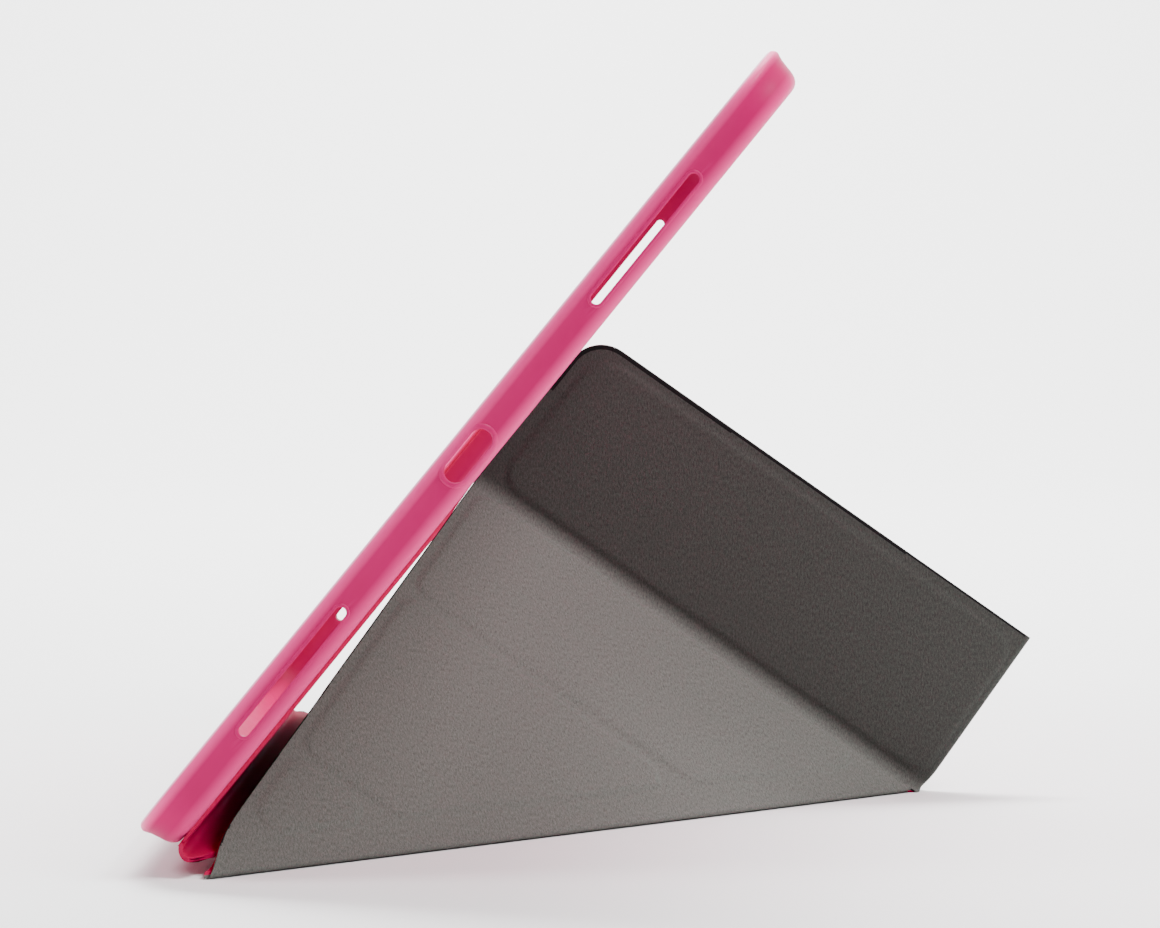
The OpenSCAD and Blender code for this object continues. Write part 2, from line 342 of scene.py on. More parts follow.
def ribbon(name, rows, uv_rows, mat, far=False):
    """A closed band. rows[i][j] is a point: i goes round the closed cross-section, j along the band."""
    grid = np.array(rows, float)
    m, n = grid.shape[:2]
    verts = grid.reshape(-1, 3)
    uv = np.array(uv_rows, float).reshape(-1, 2)
    faces = [(i * n + j, i * n + j + 1, ((i + 1) % m) * n + j + 1, ((i + 1) % m) * n + j)
             for i in range(m) for j in range(n - 1)]
    faces.append(tuple(i * n for i in range(m)))
    faces.append(tuple(reversed([i * n + n - 1 for i in range(m)])))
    if far:
        verts = verts * [1, -1, 1]
    return outward(new_object(name, verts, faces, mat, uv=uv))


def curve_through(points, count):
    """A Catmull-Rom curve through a few points, evenly sampled."""
    p = np.array(points, float)
    p = np.vstack([2 * p[0] - p[1], p, 2 * p[-1] - p[-2]])
    dense = []
    for i in range(1, len(p) - 2):
        for t in np.linspace(0, 1, 24, endpoint=False):
            a, b, c, d = p[i - 1:i + 3]
            dense.append(0.5 * (2 * b + (c - a) * t + (2 * a - 5 * b + 4 * c - d) * t * t
                                + (3 * b - a - 3 * c + d) * t ** 3))
    dense.append(p[-2])
    dense = np.array(dense)
    s = np.concatenate([[0], np.cumsum(np.linalg.norm(np.diff(dense, axis=0), axis=1))])
    t = np.linspace(0, s[-1], count)
    return np.stack([np.interp(t, s, dense[:, k]) for k in range(dense.shape[1])], 1)


# ---------------------------------------------------------------- materials
class Nodes:
    """A material and short ways to add nodes to it."""

    def __init__(self, name):
        self.mat = bpy.data.materials.new(name)
        self.mat.use_nodes = True
        self.tree = self.mat.node_tree
        self.shader = self.tree.nodes["Principled BSDF"]

    def add(self, kind, **inputs):
        node = self.tree.nodes.new(kind)
        for key, value in inputs.items():
            self.put(node.inputs[key], value)
        return node

    def put(self, socket, value):
        if isinstance(value, bpy.types.NodeSocket):
            self.tree.links.new(value, socket)
        else:
            socket.default_value = value

    def math(self, operation, a, b=0.0):
        node = self.tree.nodes.new("ShaderNodeMath")
        node.operation = operation
        self.put(node.inputs[0], a)
        self.put(node.inputs[1], b)
        return node.outputs[0]

    def mix(self, factor, a, b):
        node = self.tree.nodes.new("ShaderNodeMix")
        node.data_type = "RGBA"
        self.put(node.inputs[0], factor)
        self.put(node.inputs[6], a)
        self.put(node.inputs[7], b)
        return node.outputs[2]

    def noise(self, vector, scale, detail=3.0, rough=0.55):
        node = self.add("ShaderNodeTexNoise", Scale=scale, Detail=detail, Roughness=rough)
        self.put(node.inputs["Vector"], vector)
        return node.outputs[0]

    def ramp(self, value, stops):
        """Grey levels between two (position, level) stops."""
        node = self.tree.nodes.new("ShaderNodeValToRGB")
        self.put(node.inputs[0], value)
        e = node.color_ramp.elements
        e[0].position, e[0].color = stops[0][0], (*[stops[0][1]] * 3, 1)
        e[1].position, e[1].color = stops[1][0], (*[stops[1][1]] * 3, 1)
        return node.outputs[0]

    def bump(self, height, strength, distance):
        node = self.tree.nodes.new("ShaderNodeBump")
        self.put(node.inputs["Height"], height)
        node.inputs["Strength"].default_value = strength
        node.inputs["Distance"].default_value = distance
        self.put(self.shader.inputs["Normal"], node.outputs[0])


def linear(r, g, b):
    """A display colour, 0 to 255, as linear RGBA."""
    def channel(c):
        return c / 255 / 12.92 if c < 11 else ((c / 255 + 0.055) / 1.055) ** 2.4
    return (channel(r), channel(g), channel(b), 1)


def lining_material():
    """Heathered microfibre: fine slanting threads broken up by fibre noise, with a soft mottle. Past the
    crease the fin's colour is darkened with painted shade."""
    m = Nodes("lining")
    uv = m.add("ShaderNodeTexCoord").outputs["UV"]
    turned = m.add("ShaderNodeVectorRotate", Vector=uv, Angle=math.radians(38))
    turned.rotation_type = "Z_AXIS"
    stretched = m.add("ShaderNodeMapping", Vector=turned.outputs[0])
    stretched.inputs["Scale"].default_value = (1.0, 0.45, 1.0)
    slant = m.noise(stretched.outputs[0], 2300.0, 3.0, 0.65)
    fibre = m.noise(uv, 3300.0, 3.0, 0.7)
    wave = m.add("ShaderNodeTexWave", Scale=820.0, Distortion=7.0, Detail=2.0)
    wave.inputs["Detail Scale"].default_value = 2.0
    m.put(wave.inputs["Vector"], turned.outputs[0])
    mottle = m.noise(uv, 70.0, 3.0, 0.6)
    grain = m.math("ADD", m.math("MULTIPLY", wave.outputs["Fac"], 0.12),
                   m.math("ADD", m.math("MULTIPLY", slant, 0.55), m.math("MULTIPLY", fibre, 0.33)))
    tone = m.ramp(grain, ((0.33, 0.0), (0.67, 1.0)))
    cloth = m.mix(tone, linear(65, 66, 63), linear(111, 112, 107))
    patch = m.ramp(mottle, ((0.3, 0.0), (0.7, 1.0)))
    cloth = m.mix(m.math("MULTIPLY", patch, 0.15), cloth, linear(92, 93, 89))
    # painted shade: on the fin's side of the crease the cloth's value is cut to 0.38, darkening the fin
    across = m.add("ShaderNodeSeparateXYZ", Vector=uv).outputs[1]
    fin_painted_shade = m.ramp(m.math("MULTIPLY", m.math("ADD", across, 0.0025), 200.0), ((0.0, 0.0), (1.0, 1.0)))
    fin_shaded_colour = m.add("ShaderNodeHueSaturation", Color=cloth)
    fin_shaded_colour.inputs["Value"].default_value = 0.38
    m.put(m.shader.inputs["Base Color"], m.mix(fin_painted_shade, cloth, fin_shaded_colour.outputs[0]))
    m.put(m.shader.inputs["Roughness"], m.math("ADD", m.math("MULTIPLY", grain, 0.12), 0.85))
    m.shader.inputs["Specular IOR Level"].default_value = 0.1
    m.shader.inputs["Sheen Weight"].default_value = 0.06
    m.shader.inputs["Sheen Roughness"].default_value = 0.5
    m.bump(grain, 0.4, 0.00012)
    return m.mat


def skin_material():
    """Matt coated fabric in deep pink, with a fine pebbled grain and a slow change of tone."""
    m = Nodes("skin")
    uv = m.add("ShaderNodeTexCoord").outputs["UV"]
    pebble = m.add("ShaderNodeTexVoronoi", Scale=1500.0, Randomness=1.0)
    pebble.feature = "SMOOTH_F1"
    m.put(pebble.inputs["Vector"], uv)
    crinkle = m.noise(uv, 700.0, 4.0, 0.6)
    broad = m.noise(uv, 45.0, 2.0, 0.5)
    grain = m.math("ADD", m.math("MULTIPLY", pebble.outputs["Distance"], 0.6),
                   m.math("MULTIPLY", crinkle, 0.4))
    tone = m.ramp(grain, ((0.2, 0.0), (0.75, 1.0)))
    colour = m.mix(tone, linear(168, 1, 62), linear(184, 5, 76))
    patch = m.math("MULTIPLY", m.ramp(broad, ((0.35, 0), (0.7, 1))), 0.18)
    m.put(m.shader.inputs["Base Color"], m.mix(patch, colour, linear(190, 14, 86)))
    m.put(m.shader.inputs["Roughness"], m.math("ADD", m.math("MULTIPLY", grain, 0.16), 0.62))
    m.shader.inputs["Specular IOR Level"].default_value = 0.08
    m.bump(grain, 0.35, 0.00012)
    return m.mat


def tray_material():
    """Satin moulded elastomer: even pink with a fine spark-eroded texture and faint handling marks. Painted
    highlight makes it paler towards the lip, painted light makes it paler on the back, and sharp edges are
    paler by edge wear and painted highlight. Heights are in centimetres, so that the ramps span the tray."""
    m = Nodes("moulded_tray")
    at = m.add("ShaderNodeTexCoord").outputs["Object"]
    fine = m.noise(at, 2600.0, 3.0, 0.6)
    cloud = m.noise(at, 24.0, 3.0, 0.55)
    rub = m.noise(at, 130.0, 5.0, 0.65)
    base = m.mix(m.ramp(cloud, ((0.35, 0.0), (0.7, 1.0))), linear(172, 1, 84), linear(178, 3, 90))
    per_metre = 100.0
    normal = tray_plane.axes[2]
    along_normal = m.add("ShaderNodeVectorMath", Vector=at)
    along_normal.operation = "DOT_PRODUCT"
    along_normal.inputs[1].default_value = tuple(normal * per_metre)
    foot = float(in_row(tray_plane.origin) @ normal) * per_metre
    height = m.math("SUBTRACT", along_normal.outputs["Value"], foot)
    # painted highlight: paler pink in a band below the lip
    rim = m.ramp(height, ((0.68, 0.0), (0.88, 0.9)))
    # painted light: paler pink on the back fillet and the back face
    back = m.ramp(height, ((0.06, 0.6), (0.32, 0.0)))
    # paler on sharp convex edges: part edge wear, part painted highlight
    edge_wear_and_highlight = m.ramp(m.add("ShaderNodeNewGeometry").outputs["Pointiness"], ((0.52, 0.0), (0.6, 0.3)))
    # pale: the largest of the painted highlight, painted light and edge wear masks
    pale = m.math("MAXIMUM", m.math("MAXIMUM", rim, back), edge_wear_and_highlight)
    base = m.mix(pale, base, linear(244, 74, 146))
    # painted highlight: near-white pink along the top of the lip
    lip = m.ramp(height, ((0.905, 0.0), (0.945, 1.0)))
    m.put(m.shader.inputs["Base Color"], m.mix(lip, base, linear(253, 176, 210)))
    handled = m.math("MULTIPLY", m.ramp(rub, ((0.3, 0), (0.75, 1))), 0.1)
    m.put(m.shader.inputs["Roughness"], m.math("ADD", handled, 0.36))
    m.shader.inputs["Specular IOR Level"].default_value = 0.1
    m.bump(fine, 0.18, 0.00006)
    return m.mat


def plain_material(name, low, high, scale, rough, metallic=0.0):
    """A surface whose colour, roughness and relief all follow one noise."""
    m = Nodes(name)
    at = m.add("ShaderNodeTexCoord").outputs["Object"]
    n = m.noise(at, scale, 4.0, 0.6)
    m.put(m.shader.inputs["Base Color"], m.mix(n, low, high))
    m.put(m.shader.inputs["Roughness"], m.math("ADD", m.math("MULTIPLY", n, 0.2), rough))
    m.shader.inputs["Metallic"].default_value = metallic
    m.bump(n, 0.2, 0.0001)
    return m.mat


LINING, SKIN, TRAY = lining_material(), skin_material(), tray_material()
# near-black: the cut edge's colour, also used as painted shade in a band beside it
CUT_EDGE_AND_SHADE = plain_material("cut_edge_and_painted_shade", linear(5, 5, 6), linear(13, 11, 13), 2600.0, 0.7)
CUT_EDGE_AND_SHADE.node_tree.nodes["Principled BSDF"].inputs["Specular IOR Level"].default_value = 0.15
BOARD = plain_material("board", linear(196, 188, 170), linear(216, 209, 192), 900.0, 0.75)
STEEL = plain_material("magnet_steel", linear(170, 170, 174), linear(205, 205, 208), 1800.0, 0.28, 1.0)


def finish(obj, body):
    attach(obj, body)
    return obj


# ---------------------------------------------------------------- cover panels
def board_relief(boards, rise_mm=board_rise, shoulder=0.8):
    """Raised where a board lies under the fabric, with soft shoulders."""
    def relief(x, y):
        pts = np.stack([x, y], 1)
        lift = np.full(len(x), -1e9)
        for outline in boards:
            lift = np.maximum(lift, depth_inside(pts, outline))
        return rise_mm * (smooth((lift + shoulder) / (2 * shoulder)) - 1)
    return relief


def clip(outline, low, high, axis=1):
    """Part of a convex outline between two parallel lines."""
    for sign, limit in ((1, low), (-1, -high)):
        out = []
        for i in range(len(outline)):
            p, q = outline[i - 1], outline[i]
            a, b = sign * p[axis] - limit, sign * q[axis] - limit
            if (a >= 0) != (b >= 0):
                out.append(p + (q - p) * a / (a - b))
            if b >= 0:
                out.append(q)
        outline = out
    return outline


def tidy(outline, least=0.5):
    """Drops points that all but coincide with the one before."""
    out = []
    for i, p in enumerate(outline):
        if np.linalg.norm(p - outline[i - 1]) > least:
            out.append(p)
    return out


def fin_end(v):
    """The fin's short edge all but touches the tray's back at its tip."""
    gap = 0.5 - 0.4 * v / fin_w
    return (-gap - (fold_end + v * fin_v - tray_origin) @ tray_n) / (crease @ tray_n)


# Corners of the flat sheet: fold's end, fold's start, crease's top, fin's tip, mid fold's top
sheet_corners = [np.array(p) for p in ([0, 0], flat_start, [fin_end(0), 0], [fin_end(fin_w), fin_w],
                                       [0, fin_w])]
sheet_radii = (0, 0, 4, 9.5, 0)
beyond_sheet = 400              # an open end of a band of boards
sheet_outline = rounded(inset(sheet_corners, (-0.1, 0, 0, 0, nose)), sheet_radii)
sheet_free = rounded(inset(sheet_corners, (-25, 0, 0, 0, -25)), sheet_radii)
wing_cut = (flat_start + diagonal_bare * flat_climb, -flat_diagonal)
wing_corners = [sheet_corners[0], flat_start, np.array([crease_len, 0.0])]
wing_stiff = inset(wing_corners, (diagonal_bare + 1.8, 3.0, 3.0))
wing_bands = ((-strips[0] + groove / 2, 0), (-strips[1] + groove / 2, -strips[0] - groove / 2),
              (-beyond_sheet, -strips[1] - groove / 2))
wing_boards = [rounded(tidy(clip(wing_stiff, a, b)), 4.5) for a, b in wing_bands]
fin_board = rounded(inset([sheet_corners[0]] + sheet_corners[2:], (3.0, 4.4, 3.5, 2.6)), (5, 6, 9, 5))


def curl(xy):
    """Draws the short edge in near the foot."""
    q = (xy - flat_start) @ flat_climb
    s = (xy - flat_start) @ flat_diagonal
    beyond = s - q / math.tan(start_angle)
    return xy + (foot_curl(q) * (1 - smooth(beyond / 16)))[:, None] * flat_diagonal


def edge_shade_band(x, y):
    """The band of painted shade beside the cut edge is widest along the free edge, and widens in steps
    towards the fin's tip.
    """
    along_free_edge = np.where(x > 95, 1.22, np.where(x > 40, 0.92, 0.62))
    return np.where(y > 30, along_free_edge, 0.22)


base_slope = diagonal[1] / diagonal[0]


def base_corner(x, bare):
    return np.array([x, -cover_half + base_slope * x + bare / diagonal[0]])


def base_triangle(left, bare):
    c = base_corner(left, bare)
    return [c, np.array([(cover_half - bare / diagonal[0]) / base_slope, 0.0]), np.array([c[0], -c[1]])]


base_outline = base_triangle(8.0, base_bare)
base_stiff = base_triangle(10.5, base_bare + 2.6)
base_bands = ((8, diagonal_run - strips[1] - groove / 2),
              (diagonal_run - strips[1] + groove / 2, diagonal_run - strips[0] - groove / 2),
              (diagonal_run - strips[0] + groove / 2, beyond_sheet))
base_boards = [rounded(tidy(clip(base_stiff, a, b, 0)), 4) for a, b in base_bands]



def blend_at_crease(obj):
    """Bakes a piece's placement into its mesh; nothing is bent across the crease."""
    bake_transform(obj)


for far in (False, True):
    side = "far" if far else "near"
    boards = wing_boards + [fin_board]
    for layer, outer, mat, rise_mm, step in (("lining", 0.0, LINING, board_rise, 0.75),
                                             ("skin", -cover_t, SKIN, 0.15, 1.3)):
        sheet = panel(f"cover_{layer}_{side}", sheet_outline, bent, outer, skin_mid,
                      board_relief(boards, rise_mm), mat, far, step, free=sheet_free, shift=curl,
                      wing_cut=wing_cut, dark=edge_shade_band if layer == "lining" else None)
        blend_at_crease(sheet)
        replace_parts(sheet, f"wing_{layer}_{side}", f"fin_{layer}_{side}",
                    *([f"crease_fold_{side}"] if layer == "lining" else []))

top = panel("base_skin_shell", base_outline, base_plane, 0.0, -cover_t / 2, board_relief(base_boards, 0.25),
            SKIN, step=1.2)
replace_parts(finish(top, "base"), "base_skin")
under = panel("base_lining_cloth", base_outline, base_plane, -cover_t, -cover_t / 2,
              board_relief(base_boards, 0.3), LINING, step=1.2)
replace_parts(finish(under, "base"), "base_lining")

# ---------------------------------------------------------------- folded diagonals
# Cross-sections square to the fold: distance inwards from the fold's foot, and height. The lining is outside.
foot_out = [(base_bare, base_z), (6.6, 1.9), (4.9, 0.75), (3.3, 0.1), (2.2, 0.0)]
foot_mid = [(base_bare, base_z + 1.1), (6.9, 2.6), (5.3, 1.42), (3.7, 0.74), (2.75, 0.62)]
foot_in = [(base_bare, base_top), (7.2, 3.9), (5.9, 2.2), (4.5, 1.42), (3.3, 1.26)]


def on_wing(q, below):
    """A point of the wing's section: q up the slope from the fold's foot, below its outer face."""
    return (q * math.cos(rise) + below * math.sin(rise), q * math.sin(rise) - below * math.cos(rise))


leg_out = [(2.2, 0.0), (1.35, 0.2), on_wing(1.5, 0.2), on_wing(3.0, 0.36), on_wing(5.5, board_rise),
           on_wing(diagonal_bare, board_rise)]
leg_mid = [(2.75, 0.62), (2.2, 0.75), on_wing(1.9, 0.74), on_wing(3.0, 0.86), on_wing(5.8, 0.95),
           on_wing(diagonal_bare, cover_t / 2)]
leg_in = [(3.3, 1.26), (2.95, 1.4), on_wing(2.4, 1.36), on_wing(3.4, 1.4), on_wing(6.0, 1.7),
          on_wing(diagonal_bare, cover_t - 0.15)]
STEPS, ALONG = 22, 190          # points round a layer's section and along the fold
run = np.linalg.norm(fold_end - fold_start)


def near_end(x, z, base_side):
    """Where a layer starts along the diagonal: the curled short edge, or the leaf that turns back under."""
    if base_side:
        leaf = 4.1 - 0.9 * math.exp(-(((x - 2.8) / 1.6) ** 2)) + 1.2 * float(smooth((x - 4.5) / 3.5))
        return (leaf + 0.625 * x) / 0.78
    q = math.hypot(x, z)
    return q / math.tan(start_angle) + float(foot_curl(q))


def far_end_of(x, z, base_side):
    """Where a layer ends: short of the mid-plane, or at the crease."""
    q = math.hypot(x, z)
    if base_side:
        return run + min(0.0, (fold_stack - 0.35 - x * inward[1]) / diagonal[1]) - 4.0
    return (-crease_bare + 0.02 - flat_start[1] - q * flat_climb[1]) / flat_diagonal[1]


def fold_layer(name, first, second, base_side, mat, nodes, far):
    """One layer of the folded strip, between two sections, on the base's or the wing's side of the foot."""
    a, b = curve_through(first, STEPS), curve_through(second, STEPS)
    ring = list(a) + list(b[::-1])
    rows, uvs = [], []
    length = np.concatenate([[0], np.cumsum(np.linalg.norm(np.diff(a, axis=0), axis=1))])
    up_wing = length - length[-1] + diagonal_bare if not base_side else length - length[-1] - 2.0
    across = list(up_wing) + list(up_wing[::-1])
    for (x, z), q in zip(ring, across):
        s0, s1 = near_end(x, z, base_side), far_end_of(x, z, base_side)
        s = s0 + (s1 - s0) * np.linspace(0, 1, ALONG)
        rows.append(fold_start + s[:, None] * diagonal + x * inward + z * up)
        uvs.append(flat_start + s[:, None] * flat_diagonal + q * flat_climb)
    obj = ribbon(name, rows, uvs, mat, far)
    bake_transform(obj)
    if nodes:
        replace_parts(obj, *nodes)
    return obj


for far in (False, True):
    side = "far" if far else "near"
    fold_layer(f"diagonal_foot_lining_{side}", foot_out, foot_mid, True, LINING,
               [f"diagonal_fold_{side}"], far)
    fold_layer(f"diagonal_foot_skin_{side}", foot_mid, foot_in, True, SKIN, [], far)
    fold_layer(f"diagonal_leg_lining_{side}", leg_out, leg_mid, False, LINING, [], far)
    fold_layer(f"diagonal_leg_skin_{side}", leg_mid, leg_in, False, SKIN, [], far)

# ---------------------------------------------------------------- mid fold: one half beside each fin
def nose_arc(depth):
    """Quarter round of the fold at a depth under the lining's face."""
    r = cover_t - depth
    flat = board_rise if depth < 0.5 else 0.0
    return [(nose - nose * r / cover_t * math.sin(a), -cover_t + (r - flat) * math.cos(a))
            for a in np.linspace(0, math.pi / 2, 12)]


across_fin = np.concatenate([np.linspace(-crease_bare, crease_bare, 14), np.linspace(2.2, fin_w, 70)])
for far in (False, True):
    side = "far" if far else "near"
    for name, outer, inner, mat in (("lining", 0.0, 1.1, LINING), ("skin", 1.1, 2.18, SKIN)):
        rows, uvs = [], []
        for x, z in nose_arc(outer) + nose_arc(inner)[::-1]:
            row_x, row_z = np.full(len(across_fin), x), np.full(len(across_fin), z)
            rows.append(bent.place(np.stack([row_x, across_fin, row_z], 1)))
            uvs.append(np.stack([row_x + row_z, across_fin], 1))
        obj = ribbon(f"mid_fold_{name}_{side}", rows, uvs, mat, far)
        blend_at_crease(obj)

# ---------------------------------------------------------------- spine: pink on both sides
spine_mid = base_top - 0.6


def spine_ends(x):
    """The strip's half-length, drawn in where the wing passes over it."""
    return float(np.interp(x, [-3, -1.2, 0.4, 1.8, 3.3, 4.5, 8.0],
                           [134.5, 136.3, 137, 136.3, 132, 130, 126]))


def spine_layer(name, section, mat, bodies, nodes):
    """A band along Y with the given closed section in X and Z."""
    n = 90
    rows, uvs = [], []
    travelled = np.concatenate([[0], np.cumsum(np.linalg.norm(np.diff(np.array(section), axis=0), axis=1))])
    for (x, z), q in zip(section, travelled):
        y = np.linspace(-1, 1, n) * spine_ends(x)
        rows.append(np.stack([np.full(n, x), y, np.full(n, z)], 1))
        uvs.append(np.stack([np.full(n, q), y], 1))
    obj = ribbon(name, rows, uvs, mat)
    if isinstance(bodies, str):
        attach(obj, bodies)
    else:
        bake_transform(obj)
    if nodes:
        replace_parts(obj, *nodes)
    return obj


def flat_section(x0, x1, z0, z1, count=8):
    x = np.linspace(x0, x1, count)
    return [(a, z1) for a in x] + [(a, z0) for a in x[::-1]]


spine_layer("spine_upper_shell", flat_section(bend_x, spine_x0, spine_mid, spine_mid + spine_t, 14), SKIN,
            "spine", ["spine_upper_skin"])
spine_layer("spine_lower_shell", flat_section(bend_x, spine_x0, spine_mid - spine_t, spine_mid, 14), SKIN,
            "spine", ["spine_lower_skin"])


def hinge_groove(x0, x1, z_top, z_bottom, dip, count=13):
    """A thin strip pressed in by dip on both faces."""
    x = np.linspace(x0, x1, count)
    pressed = dip * np.sin(np.linspace(0, math.pi, count)) ** 2
    top_face = [(a, z_top - b) for a, b in zip(x, pressed)]
    return top_face + [(a, z_bottom + b) for a, b in zip(x[::-1], pressed[::-1])]


spine_groove = hinge_groove(spine_x0, spine_x1, spine_mid + spine_t, spine_mid - spine_t, 0.15)
spine_layer("spine_hinge_skin", spine_groove, SKIN, ("base", "spine"), [])


def bend_section(offset, count=18):
    """Round the bend from the spine to the tray's back, at an offset outside the middle radius."""
    out, r = [], bend_r + offset
    for k in range(count):
        a = math.radians(270 - (270 - bend_end) * k / (count - 1))
        out.append((bend_x + r * math.cos(a), spine_mid + bend_r + r * math.sin(a)))
    return out


for name, a, b in (("inner", -spine_t, 0.0), ("outer", 0.0, spine_t)):
    ring = bend_section(a) + bend_section(b)[::-1]
    spine_layer(f"spine_bend_{name}_skin", ring, SKIN,
                ("spine", "tray"), [])

# ---------------------------------------------------------------- flap on the tray's back
flap_line = [np.array(p) for p in ([flap_start, -flap_half], [flap_top, -flap_half], [flap_top, flap_half],
                                   [flap_start, flap_half])]
flap_board = rounded(inset(flap_line, (3, 3, 3, 4)), 5)
flap = panel("flap_skin_shell", rounded(flap_line, (0, 6, 6, 0)), tray_plane, -1.0, -0.02,
             board_relief([flap_board], 0.25), SKIN, step=1.8)
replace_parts(finish(flap, "tray"), "flap_skin")


# ---------------------------------------------------------------- moulded tray
def ring_points(w, l, r, corner=14, straight=24):
    """Rounded rectangle, anticlockwise, with the same number of points for every size."""
    out = []
    for cx, cy, a0 in ((w / 2 - r, l / 2 - r, 0), (-w / 2 + r, l / 2 - r, 90),
                       (-w / 2 + r, -l / 2 + r, 180), (w / 2 - r, -l / 2 + r, 270)):
        turns = [math.radians(a0 + 90 * k / corner) for k in range(corner + 1)]
        arc = [(cx + r * math.cos(a), cy + r * math.sin(a)) for a in turns]
        out += arc
        dx, dy = -math.sin(math.radians(a0 + 90)), math.cos(math.radians(a0 + 90))
        span = (w if abs(dx) > 0.5 else l) - 2 * r
        out += [(arc[-1][0] + dx * span * k / straight, arc[-1][1] + dy * span * k / straight)
                for k in range(1, straight)]
    return np.array(out)


def outer_ring(by, z):
    """Width, length, corner radius and height of a ring of the outside, drawn in by a distance."""
    return (tray_w - 2 * by, tray_len - 2 * by, tray_r - by, z)


def pocket(by, z):
    """The same for a ring of the tablet's pocket."""
    return (tablet[0] - 2 * by, tablet[1] - 2 * by, pocket_r - by, z)


lip_z = tray_back_t + tablet[2] + 0.1
# The tray's section from its back to the pocket's floor: how far in, and height
back_edge = ((9, 0), (4.6, 0), (3.8, 0.08), (3.05, 0.36), (2.4, 0.85))
wall = ((1.9, 1.5), (1.55, 2.3), (1.3, 3.2), (1.12, 4.2), (0.65, 6.2), (0.3, 7.1))
lip_edge = ((0.08, 7.6), (0.0, 8.0), (0.1, 8.45), (0.38, 8.92), (0.8, 9.3), (1.35, 9.54), (1.9, 9.6),
            (2.5, 9.5), (3.0, 9.25))
pocket_edge = ((0.6, 8.9), (1.2, 8.75), (1.5, 8.5), (1.5, 8.1), (1.2, lip_z + 0.05), (0.4, lip_z),
               (0.0, lip_z - 0.25), (0.0, 4.5), (0.0, tray_back_t + 0.6), (0.5, tray_back_t + 0.1),
               (1.2, tray_back_t), (6, tray_back_t))
rings = [outer_ring(by, z) for by, z in back_edge + wall + lip_edge]
rings += [pocket(by, z) for by, z in pocket_edge]
loops = [ring_points(w, l, r) for w, l, r, _ in rings]
count = len(loops[0])
verts = np.vstack([np.column_stack([p[:, 0] + tray_w / 2, p[:, 1], np.full(count, ring[3])])
                   for p, ring in zip(loops, rings)])
faces = [(i * count + j, (i + 1) * count + j, (i + 1) * count + (j + 1) % count, i * count + (j + 1) % count)
         for i in range(len(rings) - 1) for j in range(count)]
faces.append(tuple(range(count)))
faces.append(tuple(reversed(range((len(rings) - 1) * count, len(rings) * count))))
tray = outward(new_object("tray_moulding", tray_plane.place(verts), faces, TRAY))


def cutter_through(loops):
    """A closed solid through loops of equal length, given in the tray's own directions."""
    m, n = len(loops[0]), len(loops)
    points = np.array(loops).reshape(-1, 3)
    faces = [(i * m + j, i * m + (j + 1) % m, (i + 1) * m + (j + 1) % m, (i + 1) * m + j)
             for i in range(n - 1) for j in range(m)]
    faces += [tuple(reversed(range(m))), tuple(range((n - 1) * m, n * m))]
    return outward(new_object("cutter", tray_plane.place(points), faces, TRAY))


def slot_cutter(size, centre, face, flare):
    """Round-ended cutter along the tray's slope, flared at the outer face. face is -1 near, 1 far."""
    length, width = size
    half, wall_in = (length - width) / 2, 0.9
    flared = [(flare * (1 - math.cos(a)), -wall_in + flare * 1.3 * math.sin(a))
              for a in np.linspace(0.2, math.pi / 2, 6)]
    turns = np.linspace(-math.pi / 2, math.pi / 2, 12)
    loops = []
    for grow, y in [(0.0, -opening_depth), (0.0, -wall_in)] + flared + [(flare, 3.0)]:
        r = width / 2 + grow
        loop = [(half + r * math.cos(a), r * math.sin(a)) for a in turns]
        loop += [(-half - r * math.cos(a), -r * math.sin(a)) for a in turns]
        loops.append([(centre + x, face * (tray_len / 2 - wall_in + y), slot_z + z) for x, z in loop])
    return cutter_through(loops)


def cut(target, cutter):
    mod = target.modifiers.new("cut", "BOOLEAN")
    mod.object, mod.operation, mod.solver = cutter, "DIFFERENCE", "EXACT"
    bpy.context.view_layer.objects.active = target
    with bpy.context.temp_override(object=target, active_object=target):
        bpy.ops.object.modifier_apply(modifier=mod.name)
    bpy.data.objects.remove(cutter)


def wall_at(z):
    """How far in the drafted end wall stands at a height."""
    return float(np.interp(z, [height for _, height in wall], [by for by, _ in wall]))


def opening_rim(name, size, at, face, bead):
    """A moulded bead round an opening, sunk half into the drafted wall."""
    length, width = size
    r, half = width / 2 + bead * 0.9, (length - width) / 2
    turns = np.linspace(-math.pi / 2, math.pi / 2, 26)
    path = [(half + r * math.cos(a), r * math.sin(a), math.cos(a), math.sin(a)) for a in turns]
    path += [(-half - r * math.cos(a), -r * math.sin(a), -math.cos(a), -math.sin(a)) for a in turns]
    m, pts = 10, []
    for x, z, nx, nz in path:
        for k in range(m):
            b = 2 * math.pi * k / m
            zz = slot_z + z + nz * bead * 1.5 * math.cos(b)
            pts.append([at + x + nx * bead * 1.5 * math.cos(b),
                        face * (tray_len / 2 - wall_at(zz) + bead * 0.75 * math.sin(b)), zz])
    n = len(path)
    fc = [(i * m + j, ((i + 1) % n) * m + j, ((i + 1) % n) * m + (j + 1) % m, i * m + (j + 1) % m)
          for i in range(n) for j in range(m)]
    finish(outward(new_object(name, tray_plane.place(pts), fc, TRAY)), "tray")


slot_z = tray_back_t + tablet[2] / 2
speakers = [(face, s) for face in (-1, 1) for s in (-1, 1)]
opening_rim("port_rim", port_slot, tray_w / 2, -1, 0.42)
for face, s in speakers:
    opening_rim(f"slot_rim_{'near' if face < 0 else 'far'}_{'upper' if s > 0 else 'lower'}", speaker_slot,
                tray_w / 2 + s * speaker_off, face, 0.26)
for face, s in speakers:
    cut(tray, slot_cutter(speaker_slot, tray_w / 2 + s * speaker_off, face, 0.3))
cut(tray, slot_cutter(port_slot, tray_w / 2, -1, 0.6))


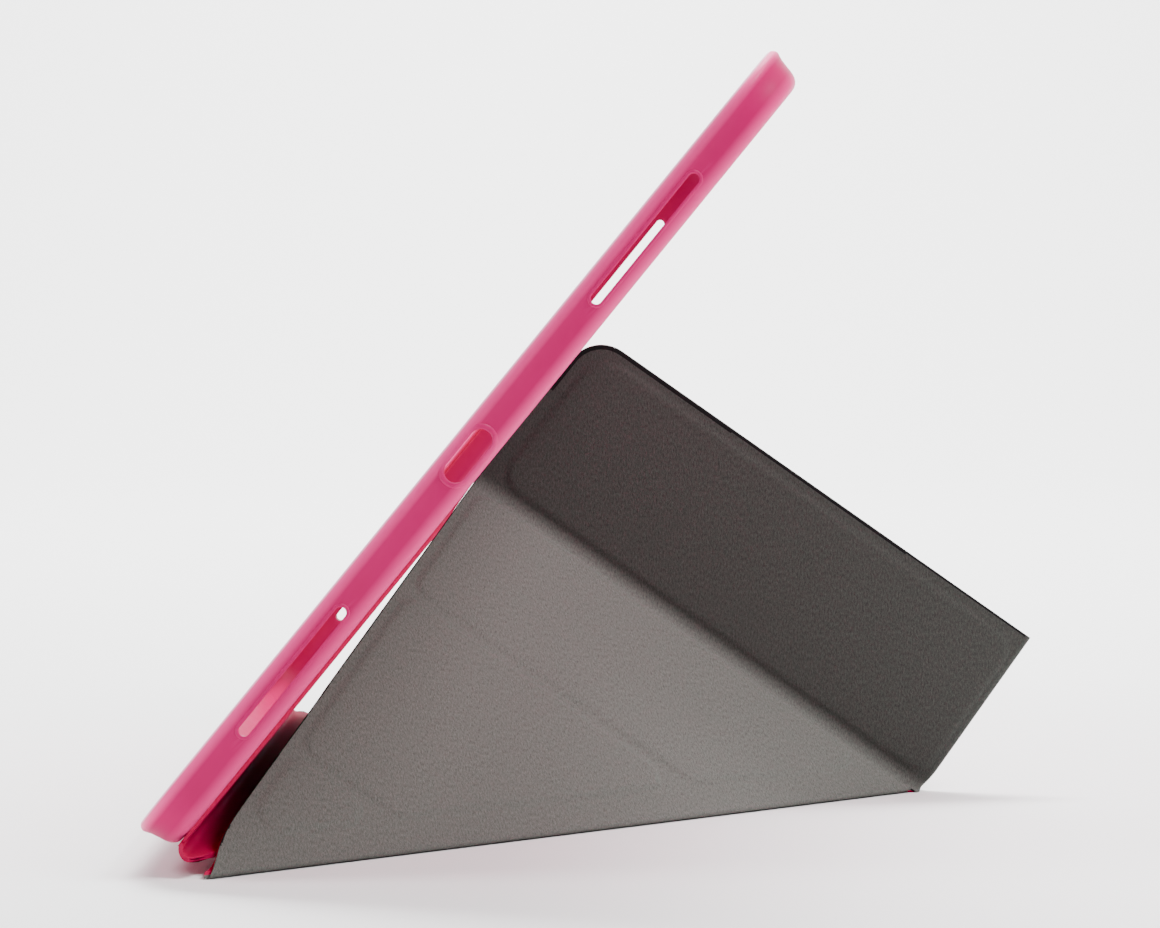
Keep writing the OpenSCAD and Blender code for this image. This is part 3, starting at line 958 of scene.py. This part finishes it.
def camera_cutter():
    """Square with round corners through the tray's back, eased where it meets the back face."""
    loops = []
    for grow, z in ((0.9, -1.0), (0.9, 0.0), (0.35, 0.25), (0.0, 0.8), (0.0, 3.0)):
        p = ring_points(camera_side + 2 * grow, camera_side + 2 * grow, camera_r + grow, 8, 4)
        loops.append(np.column_stack([p[:, 0] + tray_w - camera_in, p[:, 1] + tray_len / 2 - camera_in,
                                      np.full(len(p), z)]))
    return cutter_through(loops)


cut(tray, camera_cutter())
tray.data.shade_smooth()
tray.data.set_sharp_from_angle(angle=math.radians(32))
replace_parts(finish(tray, "tray"), "tray_shell")

# ---------------------------------------------------------------- CAD pieces that stay: boards and magnets
for name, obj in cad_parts.items():
    kind = BOARD if "board" in name else STEEL if "magnet" in name else None
    if kind:
        obj.data.materials.clear()
        obj.data.materials.append(kind)


# ---------------------------------------------------------------- stage, light and camera
def stage_piece(name, verts, colour):
    """A matt strip between two equal rows of points."""
    mesh = bpy.data.meshes.new(name)
    n = len(verts) // 2
    mesh.from_pydata(verts, [], [(i, i + 1, n + i + 1, n + i) for i in range(n - 1)])
    obj = bpy.data.objects.new(name, mesh)
    bpy.context.scene.collection.objects.link(obj)
    pale = Nodes(name + "_pale")
    pale.shader.inputs["Base Color"].default_value = colour
    pale.shader.inputs["Roughness"].default_value = 0.9
    pale.shader.inputs["Specular IOR Level"].default_value = 0.1
    mesh.materials.append(pale.mat)
    mesh.shade_smooth()


sweep = [(-4.0, 0.0), (1.6, 0.0)] + [(1.6 + 1.2 * math.sin(a), 1.2 - 1.2 * math.cos(a))
                                     for a in np.linspace(0.1, math.pi / 2, 16)] + [(2.8, 4.0)]
stage_piece("floor", [(x, y, z - 0.0003) for x in (-5.0, 5.0) for y, z in sweep], (0.9, 0.9, 0.9, 1))

world = bpy.data.worlds.new("studio")
bpy.context.scene.world = world
world.use_nodes = True
world.node_tree.nodes["Background"].inputs[0].default_value = (1, 1, 1, 1)
world.node_tree.nodes["Background"].inputs[1].default_value = 0.3


def area(name, at, aim, size, power):
    """A round area light of the given watts, turned to a point."""
    light = bpy.data.lights.new(name, "AREA")
    light.shape, light.size, light.energy = "DISK", size, power
    obj = bpy.data.objects.new(name, light)
    bpy.context.scene.collection.objects.link(obj)
    obj.location = at
    obj.rotation_euler = (Vector(aim) - Vector(at)).to_track_quat("-Z", "Y").to_euler()


area("key", (0.6, -0.3, 0.85), (-0.01, -0.06, 0.05), 0.4, 14.5)
area("top", (0.1, 0.35, 1.0), (0.0, 0.02, 0.05), 0.6, 9.0)
area("backdrop", (0.0, 0.9, 2.2), (0.0, 2.6, 0.8), 1.6, 260.0)
area("left", (-0.75, -0.3, 0.8), (-0.03, -0.1, 0.09), 0.35, 6.0)

camera_data = bpy.data.cameras.new("camera")
camera = bpy.data.objects.new("camera", camera_data)
bpy.context.scene.collection.objects.link(camera)
camera_data.sensor_width = 36
camera_data.lens = 99.7
camera_data.clip_start = 0.01
camera.location = (-0.0082, -0.8374, 0.1193)
camera.rotation_euler = Euler((math.pi / 2 - 0.0405, 0, -0.0005))
bpy.context.scene.camera = camera
